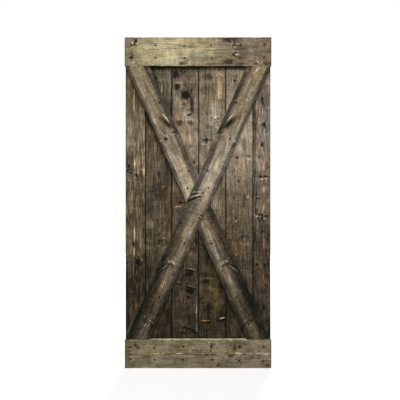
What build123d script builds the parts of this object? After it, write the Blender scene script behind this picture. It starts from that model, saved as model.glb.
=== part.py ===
from build123d import *
import math
import os

# Barn door leaf: six upright tongue-and-groove planks, a rail across the top and one across the bottom,
# and an X of face boards between the rails. One diagonal runs through, the other is two boards that
# butt against it. All sizes are in millimetres.
# Frame: +Z up, +X to the right seen from the front, and the front faces -Y. The origin is on the front
# face of the top rail, at its centre, where the hangers of a sliding track bear.

# Driving dimensions of the leaf
door_height = 2133.6
field_width = 941.0
rail_width = 184.15
rail_thickness = 17.5
rail_overhang = 3.0
brace_width = 139.7
brace_thickness = 17.5
plank_thickness = 17.5
plank_cover = 174.6
plank_count = 6
first_plank_width = 129.0

# Joints between planks
seam_gap = 0.8
front_bevel = 2.6
back_bevel = 1.2
tongue_thickness = 6.0
tongue_length = 6.4
tongue_nose = 1.2
tongue_clearance = 0.15
groove_extra_depth = 0.8

# Joints and edges of the face boards
corner_inset = 4.0
butt_gap = 0.3
rail_edge_radius = 2.0
brace_edge_radius = 2.5

# Levels and planes worked out from the sizes
top_z = rail_width / 2
bottom_z = top_z - door_height
plank_front_y = rail_thickness
plank_back_y = plank_front_y + plank_thickness
tongue_middle_y = (plank_front_y + plank_back_y) / 2
upper_seat_z = top_z - rail_width - butt_gap
lower_seat_z = bottom_z + rail_width + butt_gap
half_field = field_width / 2
FRONT = Vector(0, -1, 0)
TOLERANCE = 0.01


def seam_positions():
    """X of each side of the planks, from the left edge of the field to the right edge."""
    inner = [first_plank_width + plank_cover * k for k in range(plank_count - 1)]
    return [-half_field] + [-half_field + x for x in inner] + [half_field]


def left_side(x, has_groove):
    """Profile points of a plank's left side, from its front face to its back face."""
    if not has_groove:
        return [(x, plank_front_y), (x, plank_back_y)]
    edge = x + seam_gap / 2
    floor = edge + tongue_length + groove_extra_depth
    half = tongue_thickness / 2 + tongue_clearance
    return [
        (edge + front_bevel, plank_front_y),
        (edge, plank_front_y + front_bevel),
        (edge, tongue_middle_y - half),
        (floor, tongue_middle_y - half),
        (floor, tongue_middle_y + half),
        (edge, tongue_middle_y + half),
        (edge, plank_back_y - back_bevel),
        (edge + back_bevel, plank_back_y),
    ]


def right_side(x, has_tongue):
    """Profile points of a plank's right side, from its back face to its front face."""
    if not has_tongue:
        return [(x, plank_back_y), (x, plank_front_y)]
    edge = x - seam_gap / 2
    tip = edge + seam_gap + tongue_length
    half = tongue_thickness / 2
    return [
        (edge - back_bevel, plank_back_y),
        (edge, plank_back_y - back_bevel),
        (edge, tongue_middle_y + half),
        (tip - tongue_nose, tongue_middle_y + half),
        (tip, tongue_middle_y + half - tongue_nose),
        (tip, tongue_middle_y - half + tongue_nose),
        (tip - tongue_nose, tongue_middle_y - half),
        (edge, tongue_middle_y - half),
        (edge, plank_front_y + front_bevel),
        (edge - front_bevel, plank_front_y),
    ]


def plank(left_x, right_x, has_groove, has_tongue):
    """One upright board, run to its profile and cut to the height of the leaf."""
    points = left_side(left_x, has_groove) + right_side(right_x, has_tongue)
    profile = Plane.XY.offset(bottom_z) * make_face(Polyline(*points, close=True))
    return extrude(profile, amount=door_height, dir=(0, 0, 1))


def planks():
    """The planks from left to right. The outer two are ripped to width on their free side."""
    sides = seam_positions()
    last = plank_count - 1
    return [plank(sides[k], sides[k + 1], k > 0, k < last) for k in range(plank_count)]


def rounded_front(board, radius, direction=None):
    """Rounds the edges of a board's front face: all of them, or only those along a direction."""
    face = board.faces().sort_by(Axis.Y)[0]
    edges = face.edges()
    if direction is not None:
        edges = [e for e in edges if abs(abs(e.tangent_at(0.5).dot(direction)) - 1) < TOLERANCE]
    return fillet(edges, radius)


def rail(centre_z):
    """A board across the planks, a little longer than the field is wide."""
    length = field_width + 2 * rail_overhang
    board = Pos(0, rail_thickness / 2, centre_z) * Box(length, rail_thickness, rail_width)
    return rounded_front(board, rail_edge_radius)


def brace_angle():
    """Lean of the diagonals from upright, in radians.

    A board of brace_width between the two rails, with its corners corner_inset from the sides of the
    field, satisfies run * cos(a) - rise * sin(a) = brace_width.
    """
    run = field_width - 2 * corner_inset
    rise = upper_seat_z - lower_seat_z
    return math.acos(brace_width / math.hypot(run, rise)) - math.atan2(rise, run)


def diagonal():
    """The board from the lower left corner to the upper right one, with level ends."""
    lean = brace_angle()
    outer = half_field - corner_inset
    level_cut = brace_width / math.cos(lean)
    corners = [
        (-outer, lower_seat_z),
        (-outer + level_cut, lower_seat_z),
        (outer, upper_seat_z),
        (outer - level_cut, upper_seat_z),
    ]
    outline = make_face(Polyline(*[(x, 0, z) for x, z in corners], close=True))
    front_y = plank_front_y - brace_thickness
    board = Pos(0, front_y, 0) * extrude(outline, amount=brace_thickness, dir=(0, 1, 0))
    return rounded_front(board, brace_edge_radius, Vector(math.sin(lean), 0, math.cos(lean)))


def crossing_slot():
    """The space that the through diagonal takes from the other one, with the butt gaps."""
    middle_z = (upper_seat_z + lower_seat_z) / 2
    slot = Box(brace_width + 2 * butt_gap, 4 * brace_thickness, door_height)
    lean = math.degrees(brace_angle())
    return Pos(0, plank_front_y - brace_thickness / 2, middle_z) * Rot(0, lean, 0) * slot


def braces():
    """The through diagonal and the upper and lower halves of the other one."""
    through = diagonal()
    halves = (mirror(through, about=Plane.YZ) - crossing_slot()).solids().sort_by(Axis.Z)
    return through, halves[-1], halves[0]


def build():
    """All the pieces by name."""
    pieces = {f"plank_{k + 1}": board for k, board in enumerate(planks())}
    pieces["top_rail"] = rail(0)
    pieces["bottom_rail"] = rail(bottom_z + rail_width / 2)
    pieces["brace_through"], pieces["brace_upper_left"], pieces["brace_lower_right"] = braces()
    return pieces


os.makedirs("parts", exist_ok=True)
for name, piece in build().items():
    export_step(piece, f"parts/{name}.step")
    print(name, "volume", round(piece.volume), "mm3")
print("lean of the diagonals", round(math.degrees(brace_angle()), 2), "degrees")
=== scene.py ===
import math
from collections import namedtuple
from dataclasses import dataclass

import bpy
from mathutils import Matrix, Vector, noise


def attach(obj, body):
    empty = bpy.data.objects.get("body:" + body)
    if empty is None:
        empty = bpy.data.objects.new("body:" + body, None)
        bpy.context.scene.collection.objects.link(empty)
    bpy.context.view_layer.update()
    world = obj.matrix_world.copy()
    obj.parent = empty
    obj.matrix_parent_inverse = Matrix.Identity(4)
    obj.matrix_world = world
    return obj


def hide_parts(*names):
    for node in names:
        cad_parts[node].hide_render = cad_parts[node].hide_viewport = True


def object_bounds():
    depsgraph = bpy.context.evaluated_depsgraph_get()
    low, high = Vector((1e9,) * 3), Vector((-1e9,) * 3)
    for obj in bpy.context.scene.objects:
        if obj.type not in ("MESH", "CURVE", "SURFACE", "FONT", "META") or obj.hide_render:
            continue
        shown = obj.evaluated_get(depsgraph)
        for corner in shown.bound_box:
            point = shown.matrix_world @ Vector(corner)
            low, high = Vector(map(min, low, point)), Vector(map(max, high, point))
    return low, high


# Dresses the barn door leaf: weathered softwood boards with their knots, streaks and stains, and the
# nails in the face boards. The frame is in metres. The boards' patterns are laid out in millimetres:
# "across" and "along" are measured across and along each board's grain.
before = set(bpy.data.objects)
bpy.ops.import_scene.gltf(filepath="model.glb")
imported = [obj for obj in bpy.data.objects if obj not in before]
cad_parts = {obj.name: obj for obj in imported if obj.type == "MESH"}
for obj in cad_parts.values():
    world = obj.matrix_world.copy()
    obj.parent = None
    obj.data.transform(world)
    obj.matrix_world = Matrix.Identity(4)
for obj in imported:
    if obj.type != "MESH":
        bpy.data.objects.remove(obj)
cad_low, cad_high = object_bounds()

MM = 0.001

# The leaf, in millimetres, as the CAD has it
RAIL_TOP = cad_high.z / MM
LEAF_BOTTOM = cad_low.z / MM
RAIL_WIDTH = 184.15
RAIL_REACH = 473.5
PLANK_FRONT = 17.5
LEAF_THICKNESS = 35.0
BRACE_LEAN = 0.41626
BRACE_HALF = 69.85
CROSSING_Z = -974.7
BUTT_GAP = 0.3
SEAM_GAP = 0.8
FRONT_BEVEL = 2.6
BACK_BEVEL = 1.2
TONGUE_THICKNESS = 6.0
TONGUE_LENGTH = 6.4
TONGUE_NOSE = 1.2
TONGUE_CLEARANCE = 0.15
GROOVE_EXTRA_DEPTH = 0.8
RAIL_ROUND = 2.0
BRACE_ROUND = 2.5
RAIL_HALF = RAIL_WIDTH / 2
BOTTOM_RAIL_Z = LEAF_BOTTOM + RAIL_HALF

# Tones of the weathered wood, from the black of a knot to a pale splinter
WOOD_TONES = [
    (0.00, (17, 15, 10)),
    (0.16, (45, 39, 28)),
    (0.36, (81, 71, 54)),
    (0.56, (118, 105, 85)),
    (0.76, (162, 147, 123)),
    (1.00, (226, 210, 178)),
]
WARM_TINT = (1.04, 0.99, 0.92)
COOL_TINT = (0.97, 1.00, 1.06)
OLIVE = (0.94, 1.0, 0.88)
MOSS = (0.91, 1.0, 0.84)
AMBER = (1.0, 0.93, 0.68)
SLATE = (0.94, 0.99, 1.08)
BUTTER = (1.03, 0.97, 0.80)
TAN = (1.12, 0.92, 0.78)
STRAW = (0.99, 1.0, 0.93)
PINE = (0.92, 1.02, 1.04)
PLUM = (1.02, 0.94, 0.97)
RUSSET = (1.02, 0.95, 0.88)


# Nodes, written as sums


class Value:
    """A number, vector or colour in a node tree. Sums of values make the nodes that work them out."""

    def __init__(self, socket):
        self.socket = socket
        self.tree = socket.id_data

    def work_out(self, operation, *inputs):
        kind = "ShaderNodeMath" if self.socket.type == "VALUE" else "ShaderNodeVectorMath"
        output = "Value" if operation in ("LENGTH", "DOT_PRODUCT") else 0
        return node(self.tree, kind, dict(enumerate(inputs)), output, operation=operation)

    def __add__(self, other):
        return self.work_out("ADD", self, other)

    def __sub__(self, other):
        return self.work_out("SUBTRACT", self, other)

    def __rsub__(self, other):
        return self.work_out("SUBTRACT", other, self)

    def __mul__(self, other):
        return self.work_out("MULTIPLY", self, other)

    def __truediv__(self, other):
        return self.work_out("DIVIDE", self, other)

    def __abs__(self):
        return self.work_out("ABSOLUTE", self)

    def dot(self, other):
        return self.work_out("DOT_PRODUCT", self, other)

    def length(self):
        return self.work_out("LENGTH", self)

    def sine(self):
        return self.work_out("SINE", self)


def node(tree, kind, inputs=None, output=0, **settings):
    """An output of a new node, with the node's settings made and its inputs set or linked."""
    made = tree.nodes.new(kind)
    for name, value in settings.items():
        setattr(made, name, value)
    for key, value in (inputs or {}).items():
        if isinstance(value, Value):
            tree.links.new(value.socket, made.inputs[key])
        else:
            made.inputs[key].default_value = value
    return Value(made.outputs[output]) if len(made.outputs) else None


def srgb(red, green, blue):
    """A colour given in 0 to 255 display levels, as the linear colour that a shader takes."""
    def linear(level):
        c = level / 255
        return c / 12.92 if c <= 0.04045 else ((c + 0.055) / 1.055) ** 2.4
    return (linear(red), linear(green), linear(blue), 1.0)


def vector(tree, x=0.0, y=0.0, z=0.0):
    """A vector of numbers or values."""
    return node(tree, "ShaderNodeCombineXYZ", {"X": x, "Y": y, "Z": z})


def axes(value):
    """The X, Y and Z of a vector."""
    parts = node(value.tree, "ShaderNodeSeparateXYZ", {0: value}).socket.node.outputs
    return [Value(part) for part in parts]


def object_place(tree, scale=1.0):
    """A point's own place in its object's coordinates, times a scale."""
    return node(tree, "ShaderNodeTexCoord", output="Object") * (scale, scale, scale)


def ramp_between(value, low, high, out_low=0.0, out_high=1.0, smooth=True):
    """Maps value from low..high to out_low..out_high, held at both ends."""
    inputs = {"Value": value, "From Min": low, "From Max": high, "To Min": out_low, "To Max": out_high}
    kind = "SMOOTHSTEP" if smooth else "LINEAR"
    return node(value.tree, "ShaderNodeMapRange", inputs, interpolation_type=kind)


def noise_node(place, scale, detail=2.0, roughness=0.5):
    """Noise from 0 to 1 at a place scaled by a number for each axis."""
    inputs = {"Vector": place * scale, "Scale": 1.0, "Detail": detail, "Roughness": roughness}
    return node(place.tree, "ShaderNodeTexNoise", inputs)


def mix_colours(tree, share, first, second, blend="MULTIPLY"):
    """The first colour with a share of the second laid over it."""
    return node(tree, "ShaderNodeMix", {0: share, 6: first, 7: second}, 2, data_type="RGBA", blend_type=blend)


def colour_ramp(value, colours):
    """A colour for each value from 0 to 1, by straight lines between pairs of position and colour."""
    ramp = node(value.tree, "ShaderNodeValToRGB", {"Fac": value})
    stops = ramp.socket.node.color_ramp.elements
    stops[0].position, stops[1].position = 0.0, 1.0
    for position, _ in colours[1:-1]:
        stops.new(position)
    for stop, (_, colour) in zip(stops, colours):
        stop.color = colour
    return ramp


def curve_node(value, points):
    """A number for each value, by straight lines between pairs of value and number from -0.5 to 1.5."""
    lowest, highest = points[0][0], points[-1][0]
    greys = [((at - lowest) / (highest - lowest), [(number + 0.5) / 2] * 3 + [1.0]) for at, number in points]
    ramp = colour_ramp(ramp_between(value, lowest, highest, smooth=False), greys)
    return ramp_between(ramp, 0.0, 1.0, -0.5, 1.5, smooth=False)


def new_group(name, inputs, outputs, work):
    """A node group whose outputs are what a function works out from its inputs."""
    tree = bpy.data.node_groups.new(name, "ShaderNodeTree")
    for in_out, sockets in (("INPUT", inputs), ("OUTPUT", outputs)):
        for socket in sockets:
            kind = "NodeSocketVector" if socket in ("Place", "Side") else "NodeSocketFloat"
            tree.interface.new_socket(socket, in_out=in_out, socket_type=kind)
    given = {s.name: Value(s) for s in tree.nodes.new("NodeGroupInput").outputs if s.name}
    results = tree.nodes.new("NodeGroupOutput").inputs
    for socket, value in zip(outputs, work(given)):
        tree.links.new(value.socket, results[socket])
    return tree


def use_group(tree, group, inputs):
    """The outputs of a group by name."""
    outputs = node(tree, "ShaderNodeGroup", inputs, node_tree=group).socket.node.outputs
    return {socket.name: Value(socket) for socket in outputs}


# What the wood shows: marks, arcs, knots, curly figure and grain

ELLIPSE = ["Place", "Across", "Along", "Half across", "Half along", "Tilt", "Amount"]
IN_PLANE = (1.0, 0.0, 1.0)
ARC_FADE = 0.35
KNOT_SPLITS = ((0.94, 0.34), (-0.42, 0.91))
SPLIT_WIDTH = 0.16


def ellipse_frame(given):
    """The centre and the half sizes of a mark, in the board's coordinates."""
    tree = given["Place"].tree
    return (vector(tree, given["Across"], 0.0, given["Along"]),
            vector(tree, given["Half across"], 1.0, given["Half along"]))


def ellipse_distance(given):
    """Distance from a mark's centre, in half sizes of the mark, in the board's plane."""
    centre, half = ellipse_frame(given)
    inputs = {"Vector": given["Place"], "Center": centre, "Angle": given["Tilt"]}
    turned = node(centre.tree, "ShaderNodeVectorRotate", inputs, rotation_type="Y_AXIS")
    return ((turned - centre) / half * IN_PLANE).length()


def mark_tone(given):
    """Adds an amount to the tone inside an ellipse."""
    mask = ramp_between(ellipse_distance(given), 1.0, 1.0 - given["Soft"])
    return [given["Tone"] + mask * given["Amount"]]


def arc_tone(given):
    """Adds an amount to the tone along a part of an ellipse's outline."""
    centre, half = ellipse_frame(given)
    flat = (given["Place"] - centre) / half * IN_PLANE
    line = ramp_between(abs(flat.length() - 1.0), given["Width"], 0.0)
    facing = flat.work_out("NORMALIZE", flat).dot(given["Side"])
    window = ramp_between(facing, given["Reach"], given["Reach"] + ARC_FADE)
    return [given["Tone"] + line * window * given["Amount"]]


def swollen_rings(given):
    """Pushes the ring field out round a knot, so that the rings close round it, and says how near it is."""
    distance = ellipse_distance(given)
    fall = distance * distance * -1.0
    bell = fall.work_out("EXPONENT", fall)
    return [given["Ring"] + bell * given["Amount"], bell.work_out("MAXIMUM", given["Near"], bell)]


def knot_tone(given):
    """Darkens the tone to a knot: a ringed core with splits, a black rim and a soft halo."""
    distance = ellipse_distance(given)
    halo = ramp_between(distance, 2.4, 0.9, 0.0, 0.35)
    inside = ramp_between(distance, 1.3, 0.5)
    rings = (distance * 17.0).sine() * 0.12 * inside
    rim = ramp_between(abs(distance - 1.0), 0.22, 0.0, 0.0, 0.12)
    offset = given["Place"] - ellipse_frame(given)[0]
    dark = halo + rim + inside
    for across, along in KNOT_SPLITS:
        away = abs(offset.dot((across, 0.0, along)))
        split = ramp_between(away, given["Half across"] * SPLIT_WIDTH, 0.0)
        dark = dark + split * (inside * 0.5)
    return [given["Tone"] - (dark - rings) * given["Amount"]]


def burl_tone(given):
    """Adds curly light and dark figure to the tone, as strong as the mask."""
    curls = (noise_node(given["Place"], (0.030, 0.030, 0.022), 2.0, 0.4) * 42.0).sine()
    mottle = (noise_node(given["Place"], (0.12, 0.12, 0.10), 2.0, 0.7) - 0.5) * 2.0
    return [given["Tone"] + (curls * 0.6 + mottle) * given["Mask"]]


def grain(given):
    """The tone and height of the grain of a weathered softwood board.

    Place is in millimetres with Z along the grain, Ring the distance from the heart, and Near is one
    at a knot. Tone is lighter above zero and darker below it. Height is in millimetres.
    """
    place, ring = given["Place"], given["Ring"]
    drift = noise_node(place, (0.012, 0.012, 0.0035))
    wandering = place + vector(place.tree, (drift - 0.5) * 40.0)

    def streaks(across, along, amount, detail=2.0):
        return (noise_node(wandering, (1 / across, 1 / across, 1 / along), detail) - 0.5) * amount

    fibres = streaks(1.5, 40.0, 0.40)
    lines = (streaks(24.0, 300.0, 0.24) + streaks(6.5, 85.0, 0.56, 3.0)) + (fibres + streaks(3.6, 60.0, 0.50))
    grit = (noise_node(place, (0.17, 0.17, 0.15), 3.0, 0.7) - 0.5) * (given["Speckle"] * 5.0)
    blotches = (noise_node(place, (0.016, 0.016, 0.012), 4.0, 0.62) - 0.5) * 0.56
    bands = (noise_node(place, (0.008, 0.008, 0.045), 2.0, 0.6) - 0.5) * 0.22

    cycle = ring.work_out("FRACT", ring / 4.6)
    latewood = (ramp_between(cycle, 0.45, 0.92) - ramp_between(cycle, 0.97, 1.0)) * 0.12
    curls = (ring * 0.62).sine() * given["Near"] * 0.12
    crack = ramp_between(noise_node(wandering, (0.62, 0.62, 0.006), 1.0), 0.66, 0.74)

    tone = lines * given["Streak"] + (grit + (blotches + bands)) - latewood + curls - crack * 0.22
    return [tone, fibres * 1.2 + latewood * 3.0 - crack * 0.6]


MARK = new_group("mark", ["Tone", "Soft", *ELLIPSE], ["Tone"], mark_tone)
ARC = new_group("arc", ["Tone", "Side", "Reach", "Width", *ELLIPSE], ["Tone"], arc_tone)
SWELL = new_group("swell", ["Ring", "Near", *ELLIPSE], ["Ring", "Near"], swollen_rings)
CORE = new_group("core", ["Tone", *ELLIPSE], ["Tone"], knot_tone)
GRAIN = new_group("grain", ["Place", "Ring", "Near", "Streak", "Speckle"], ["Tone", "Height"], grain)
BURL = new_group("burl", ["Tone", "Place", "Mask"], ["Tone"], burl_tone)


# Boards and what is drawn on them

Mark = namedtuple("Mark", "across along half_across half_along amount tilt soft")
Arc = namedtuple("Arc", "across along half_across half_along amount side spread width")
Knot = namedtuple("Knot", "across along radius depth")
STAIN_SOFT = 0.75
CUT_SOFT = 0.6
SLIT_SOFT = 0.5


def hundredths(points):
    """Pairs of a place and a tone in hundredths, with the tone as a plain number."""
    return [(place, tone / 100) for place, tone in points]


def mark(across, along, half_across, half_along, amount, tilt=0.0, soft=STAIN_SOFT):
    """An ellipse that darkens or lightens a board by an amount in hundredths of the tone.

    Tilt is in degrees and leans its upper end to the right, and soft is 1 for no hard edge.
    """
    return Mark(across, along, half_across, half_along, amount / 100, tilt, soft)


def arc(across, along, half_across, half_along, amount, side, spread=80.0, width=0.25):
    """A curved line round a point: side is where its middle lies, in degrees from straight up the grain."""
    return Arc(across, along, half_across, half_along, amount / 100, side, spread, width)


def knots(*rows):
    """Knots that the rings flow round: place, radius, and how much darker than the board they are."""
    return [Knot(across, along, radius, depth / 100) for across, along, radius, depth in rows]


def drawn(stains=(), cuts=(), slits=(), arcs=()):
    """Marks with soft edges, cuts and slits with crisp edges, which are also carved, and arcs."""
    rows = [(row, STAIN_SOFT) for row in stains] + [(row, CUT_SOFT) for row in cuts]
    rows += [(row, SLIT_SOFT) for row in slits]
    marks = [mark(*row) if len(row) > 6 else mark(*row, soft=soft) for row, soft in rows]
    return marks + [arc(*row) for row in arcs]


def is_cut(m):
    """Whether a mark has crisp edges and is carved into the board."""
    return isinstance(m, Mark) and m.soft <= CUT_SOFT


def tinted(*rows):
    """Tints with the marks inside which they colour the wood."""
    return [(mark(*row[1:]), row[0]) for row in rows]


@dataclass(eq=False)
class Board:
    """A board: its axes in the leaf, its sides across the grain, and what its face shows.

    Across and along are X and Z directions in the leaf, origin is the X and Z that they start from.
    Heart is how far the tree's heart lies to the side of the board's middle and in front of the leaf.
    """

    name: str
    seed: int
    origin: tuple
    across: tuple
    along: tuple
    sides: tuple
    fade: list
    heart: tuple
    speckle: float
    knots: list
    marks: list
    tints: list
    burls: list
    streak: float = 1.0
    seams: tuple = (False, False)
    tint: tuple = (1.0, 1.0, 1.0)
    nails: tuple = ()
    # Painted shadow and painted light laid on a plank's front: under the top rail and beside the diagonals
    painted_light_and_shade: tuple = ()
    profiled: bool = False
    # Painted light (above zero) and painted shade (below zero) on the lower and the upper side face
    side_light_and_shade: tuple = (0.0, 0.0)

    def in_leaf(self, across, along):
        """X and Z in the leaf of a place on the board."""
        return (self.origin[0] + across * self.across[0] + along * self.along[0],
                self.origin[1] + across * self.across[1] + along * self.along[1])


# The wood's material

# How the tone of a diagonal changes across it, from its lower side to its upper one: above the crossing
# it has sharp dark borders, and below it has painted shade, as if it were round
UPPER_PROFILE = hundredths([(-70, -22), (-58, -23), (-52, -19), (-46, 3), (-28, 4), (24, -1), (27, -5),
                            (32, -28), (45, -33), (62, -32), (66, -20), (70, -16)])
LOWER_ROUND_SHADE = hundredths([(-70, -30), (-58, -26), (-49, -21), (-42, -7), (-36, 0), (-18, 0), (-6, -4),
                            (8, -11), (24, -22), (36, -31), (48, -37), (70, -42)])

# How far the borders stand out, how strong the grain is, and how much wider the middle gets on its upper
# side, up a diagonal
PROFILE_STRENGTH = hundredths([(-930, 62), (-800, 75), (-640, 100), (-400, 100), (420, 100), (460, 92),
                               (520, 84), (930, 100)])
BRACE_STREAK = hundredths([(-930, 85), (-150, 75), (60, 36), (930, 42)])
MIDDLE_WIDTH = hundredths([(300, 100), (480, 140), (700, 145), (930, 115)])

# Dirt on the left and right sides of each plank: how far it reaches from the joint, and how dark it is
SEAM_GRIME = [((4.0, 0.16), (4.8, 0.30)), ((4.8, 0.30), (8.0, 0.62)), ((4.0, 0.0), (8.0, 0.64)),
              ((4.0, 0.0), (7.0, 0.46)), ((4.4, 0.20), (4.8, 0.40)), ((4.8, 0.30), (4.0, 0.16))]
SEAM_GRIME_FADE = 2.4
# The stain round a nail and the dark of its hole: half sizes, and how much they darken
NAIL_STAIN = (12.0, 14.0, -16)
NAIL_HOLE = (7.5, 7.5, -60)


def board_place(tree, board):
    """Coordinates in millimetres: X across the board, Y from front to back, Z along the grain."""
    place = object_place(tree, 1 / MM)
    offset = place - (board.origin[0], 0.0, board.origin[1])
    across = offset.dot((board.across[0], 0.0, board.across[1]))
    along = offset.dot((board.along[0], 0.0, board.along[1]))
    return vector(tree, across, place.dot((0.0, 1.0, 0.0)), along)


def ellipse_inputs(place, across, along, half_across, half_along, amount):
    """The inputs that every group with an ellipse takes."""
    return {"Place": place, "Across": across, "Along": along, "Half across": half_across,
            "Half along": half_along, "Amount": amount}


def wobbled(place, seeded, scale, across, along):
    """The place, moved about by noise, so that outlines drawn in it are ragged."""
    inputs = {"Vector": seeded * scale, "Scale": 1.0, "Detail": 3.0}
    turbulence = node(place.tree, "ShaderNodeTexNoise", inputs, "Color")
    return place + (turbulence - (0.5, 0.5, 0.5)) * (across, 0.0, along)


def ring_field(board, place, seeded):
    """Distance from the heart of the tree, bent by a slow drift and by the knots, and their nearness."""
    sway = (noise_node(seeded, (0.006, 0.006, 0.0016)) - 0.5) * 60.0
    x, y, z = axes(place)
    across = x - ((board.sides[0] + board.sides[1]) / 2 + board.heart[0]) + sway
    depth = y + board.heart[1] + z * 0.012
    squares = across * across + depth * depth
    ring, near = squares.work_out("SQRT", squares), 0.0
    for k in board.knots:
        inputs = ellipse_inputs(place, k.across, k.along, k.radius * 2.0, k.radius * 3.6, k.radius * 0.8)
        swollen = use_group(place.tree, SWELL, {"Ring": ring, "Near": near, **inputs})
        ring, near = swollen["Ring"], swollen["Near"]
    return ring, near


def add_mark(tone, m, place):
    """The tone with one mark or arc on it."""
    inputs = {"Tone": tone, **ellipse_inputs(place, *m[:5])}
    if isinstance(m, Arc):
        turn = math.radians(m.side)
        inputs.update({"Side": (math.sin(turn), 0.0, math.cos(turn)), "Width": m.width,
                       "Reach": math.cos(math.radians(m.spread))})
        return use_group(place.tree, ARC, inputs)["Tone"]
    inputs.update({"Tilt": math.radians(-m.tilt), "Soft": m.soft})
    return use_group(place.tree, MARK, inputs)["Tone"]


def add_marks(tone, marks, place):
    """The tone with a list of marks on it."""
    for m in marks:
        tone = add_mark(tone, m, place)
    return tone


def profile_tone(place):
    """What is added across a diagonal: painted round shading below the crossing, and dark borders above it.
    """
    x, _, z = axes(place)
    on_upper_side = ramp_between(x, -5.0, 5.0, 0.35, 1.0)
    stretch = (curve_node(z, MIDDLE_WIDTH) - 1.0) * on_upper_side + 1.0
    upper = curve_node(x / stretch, UPPER_PROFILE)
    # Painted shade that makes the flat lower half look round
    lower = curve_node(x, LOWER_ROUND_SHADE)
    chosen = node(place.tree, "ShaderNodeMix", {0: ramp_between(z, 15.0, 75.0), 2: lower, 3: upper})
    return chosen * curve_node(z, PROFILE_STRENGTH)


def seam_grime(board, tone, place):
    """Dirt in the joints beside a plank."""
    x = axes(place)[0]
    for side, (reach, amount) in zip(board.sides, SEAM_GRIME[board.seed - 1]):
        tone = tone - ramp_between(abs(x - side), reach, reach - SEAM_GRIME_FADE, 0.0, amount)
    return tone


def worn_edges_and_side_shading(board, tone, place, seeded):
    """Rubbed pale patches on the long edges of a face board, and painted light and shade on its sides."""
    x, y, _ = axes(place)
    rubbed = ramp_between(noise_node(seeded, (0.03, 0.03, 0.022), 3.0), 0.46, 0.62)
    pale = 0.12 if board.profiled else 0.26
    behind = ramp_between(y, 1.6, 3.6)
    for side, change in zip(board.sides, board.side_light_and_shade):
        away = abs(x - side)
        tone = tone + ramp_between(away, 5.0, 1.0, 0.0, pale) * rubbed
        # Painted light and shade on the side face
        tone = tone + ramp_between(away, 2.4, 1.2) * behind * change
    return tone


def wood_colour(board, tone, seeded, place):
    """The tone as a colour, warmer in some patches and greyer in others, and tinted where the board says."""
    tree = tone.tree
    patches = ramp_between(noise_node(seeded, (0.014, 0.014, 0.004)), 0.36, 0.64)
    hue = mix_colours(tree, patches, (*COOL_TINT, 1.0), (*WARM_TINT, 1.0), "MIX")
    plain = colour_ramp(tone, [(level, srgb(*colour)) for level, colour in WOOD_TONES])
    colour = mix_colours(tree, 1.0, mix_colours(tree, 1.0, plain, hue), (*board.tint, 1.0))
    for m, tint in board.tints:
        colour = mix_colours(tree, add_mark(0.0, m, place), colour, (*tint, 1.0))
    return colour


def finish_inputs(shader, colour, roughness, height, distance):
    """Links a shader's colour, roughness and bump."""
    tree = colour.tree
    bump = node(tree, "ShaderNodeBump", {"Height": height, "Distance": distance, "Strength": 1.0})
    for name, value in (("Base Color", colour), ("Roughness", roughness), ("Normal", bump)):
        tree.links.new(value.socket, shader.inputs[name])


def new_material(name):
    """A material with its node tree and its main shader."""
    material = bpy.data.materials.new(name)
    material.use_nodes = True
    return material, material.node_tree, material.node_tree.nodes["Principled BSDF"]


def wood_material(board):
    """The finish of one board."""
    material, tree, shader = new_material(board.name + "_wood")
    place = board_place(tree, board)
    seeded = place + (board.seed * 137.0, board.seed * 71.0, board.seed * 913.0)
    ragged = wobbled(place, seeded, (0.11, 0.11, 0.04), 11.0, 26.0)
    knotty = wobbled(place, seeded, (0.09, 0.09, 0.08), 17.0, 17.0)
    crisp = wobbled(place, seeded, (0.09, 0.09, 0.05), 5.0, 8.0)

    ring, near = ring_field(board, place, seeded)
    lengthwise = axes(ragged)[2]
    streak = curve_node(lengthwise, BRACE_STREAK) if board.profiled else board.streak
    fibre = use_group(tree, GRAIN, {"Place": seeded, "Ring": ring, "Near": near, "Streak": streak,
                                    "Speckle": board.speckle})
    tone = fibre["Tone"] + curve_node(lengthwise, board.fade)
    if board.profiled:
        tone = tone + profile_tone(crisp)
    mask = add_marks(0.0, board.burls, ragged)
    tone = use_group(tree, BURL, {"Tone": tone, "Place": seeded, "Mask": mask})["Tone"]
    for m in board.marks:
        tone = add_mark(tone, m, crisp if is_cut(m) else ragged)
    for nail in board.nails:
        tone = add_mark(tone, mark(*nail, *NAIL_STAIN, soft=0.9), ragged)
        tone = add_mark(tone, mark(*nail, *NAIL_HOLE, soft=0.5), place)
    # Painted shadow and light beside the face boards, kept to the front face
    if board.painted_light_and_shade:
        front = ramp_between(axes(place)[1], LEAF_THICKNESS - 4.0, PLANK_FRONT + 4.0)
        tone = tone + add_marks(0.0, board.painted_light_and_shade, ragged) * front
    for k in board.knots:
        inputs = ellipse_inputs(knotty, k.across, k.along, k.radius, k.radius * 1.15, k.depth)
        tone = use_group(tree, CORE, {"Tone": tone, **inputs})["Tone"]
    if any(board.seams):
        tone = seam_grime(board, tone, place)
    else:
        tone = worn_edges_and_side_shading(board, tone, place, seeded)
    roughness = ramp_between(tone, 0.0, 1.0, 0.92, 0.74)
    finish_inputs(shader, wood_colour(board, tone, seeded, ragged), roughness, fibre["Height"], MM)
    shader.inputs["Specular IOR Level"].default_value = 0.12
    return material


# The planks


def on_brace(across, along, right):
    """X and Z in the leaf of a point on a diagonal that leans right or left going up."""
    side = 1.0 if right else -1.0
    x = side * (along * math.sin(BRACE_LEAN) - across * math.cos(BRACE_LEAN))
    z = along * math.cos(BRACE_LEAN) + across * math.sin(BRACE_LEAN)
    return x, CROSSING_Z + z


# How much painted shade darkens the planks below and above the diagonals that lean left, and how much painted
# light lightens them below and above the one that leans right, at two places up each
LIGHT_AND_SHADE_BESIDE_BRACES = {False: ((-500.0, (-7, -5)), (500.0, (-16, -7))),
                 True: ((-500.0, (10, 10)), (500.0, (7, 3)))}


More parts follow.
